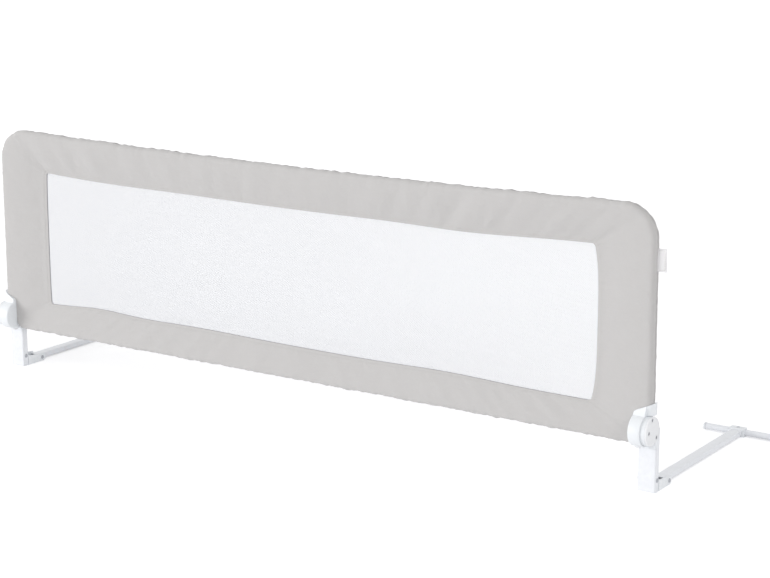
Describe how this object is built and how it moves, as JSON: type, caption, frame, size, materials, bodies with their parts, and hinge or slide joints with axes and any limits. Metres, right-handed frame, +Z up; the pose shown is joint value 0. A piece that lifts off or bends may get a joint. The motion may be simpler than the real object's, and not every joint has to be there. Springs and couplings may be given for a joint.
{
  "type": "folding bed guard rail",
  "caption": "Fabric bed guard with a net window on a tube frame, hinged on two short posts with flat bars and cross tubes that lie under the mattress.",
  "frame": {"origin": "on the surface it stands on, under the middle of the whole: halfway between the cross tubes' outer ends, and halfway from the front of the hinge drums to the back of the connectors", "axes": "+X along the panel, to the right as seen from outside the bed; +Y into the bed, the way the flat bars run; +Z up"},
  "size_m": [1.619, 0.4414, 0.509],
  "materials": {
    "cover_fabric": "woven, matt",
    "net_fabric": "fine knitted net",
    "label_tape": "woven tape, bare",
    "painted_steel": "white powder coat",
    "white_plastic": "fine satin",
    "plate_plastic": "fine satin",
    "zinc_steel": "zinc plated",
    "spring_steel": "bright wire"
  },
  "bodies": {
    "legs": {"left_post": "painted_steel", "right_post": "painted_steel", "left_post_head": "white_plastic", "right_post_head": "white_plastic", "left_hinge_cover": "plate_plastic", "right_hinge_cover": "plate_plastic", "left_cover_screw_1": "zinc_steel", "left_cover_screw_2": "zinc_steel", "left_cover_screw_3": "zinc_steel", "right_cover_screw_1": "zinc_steel", "right_cover_screw_2": "zinc_steel", "right_cover_screw_3": "zinc_steel", "left_pivot_bolt": "zinc_steel", "right_pivot_bolt": "zinc_steel", "left_foot_bracket": "white_plastic", "right_foot_bracket": "white_plastic", "left_post_rivet": "zinc_steel", "right_post_rivet": "zinc_steel", "left_bar_rivet": "zinc_steel", "right_bar_rivet": "zinc_steel"},
    "guard": {"fabric_cover": "cover_fabric", "net_window": "net_fabric", "label_tab": "label_tape", "bottom_tube": "painted_steel", "top_tube_joiner": "zinc_steel", "left_frame_tube": "painted_steel", "right_frame_tube": "painted_steel", "left_hinge_housing": "white_plastic", "right_hinge_housing": "white_plastic", "left_release_spring": "spring_steel", "right_release_spring": "spring_steel"},
    "left_release": {"left_release_button": "plate_plastic"},
    "right_release": {"right_release_button": "plate_plastic"},
    "left_bar": {"left_flat_bar": "painted_steel", "left_cross_connector": "white_plastic", "left_connector_screw": "zinc_steel", "left_cross_tube": "painted_steel", "left_cross_cap_outer": "white_plastic", "left_cross_cap_inner": "white_plastic"},
    "right_bar": {"right_flat_bar": "painted_steel", "right_cross_connector": "white_plastic", "right_connector_screw": "zinc_steel", "right_cross_tube": "painted_steel", "right_cross_cap_outer": "white_plastic", "right_cross_cap_inner": "white_plastic"}
  },
  "joints": [
    {"name": "guard_fold", "type": "hinge", "parent": "legs", "child": "guard", "pos_m": [0, -0.1917, 0.116], "axis": [1, 0, 0], "range_deg": [0, 180]},
    {"name": "left_release_press", "type": "slide", "parent": "guard", "child": "left_release", "axis": [0, 0, 1], "range_m": [0, 0.003], "stiffness_N_per_m": 400, "springref_m": -0.002, "deforming": ["left_release_spring"]},
    {"name": "right_release_press", "type": "slide", "parent": "guard", "child": "right_release", "axis": [0, 0, 1], "range_m": [0, 0.003], "stiffness_N_per_m": 400, "springref_m": -0.002, "deforming": ["right_release_spring"]},
    {"name": "left_bar_fold", "type": "hinge", "parent": "legs", "child": "left_bar", "pos_m": [-0.7395, -0.1198, 0.00805], "axis": [1, 0, 0], "range_deg": [0, 90]},
    {"name": "right_bar_fold", "type": "hinge", "parent": "legs", "child": "right_bar", "pos_m": [0.7395, -0.1198, 0.00805], "axis": [1, 0, 0], "range_deg": [0, 90]}
  ]
}
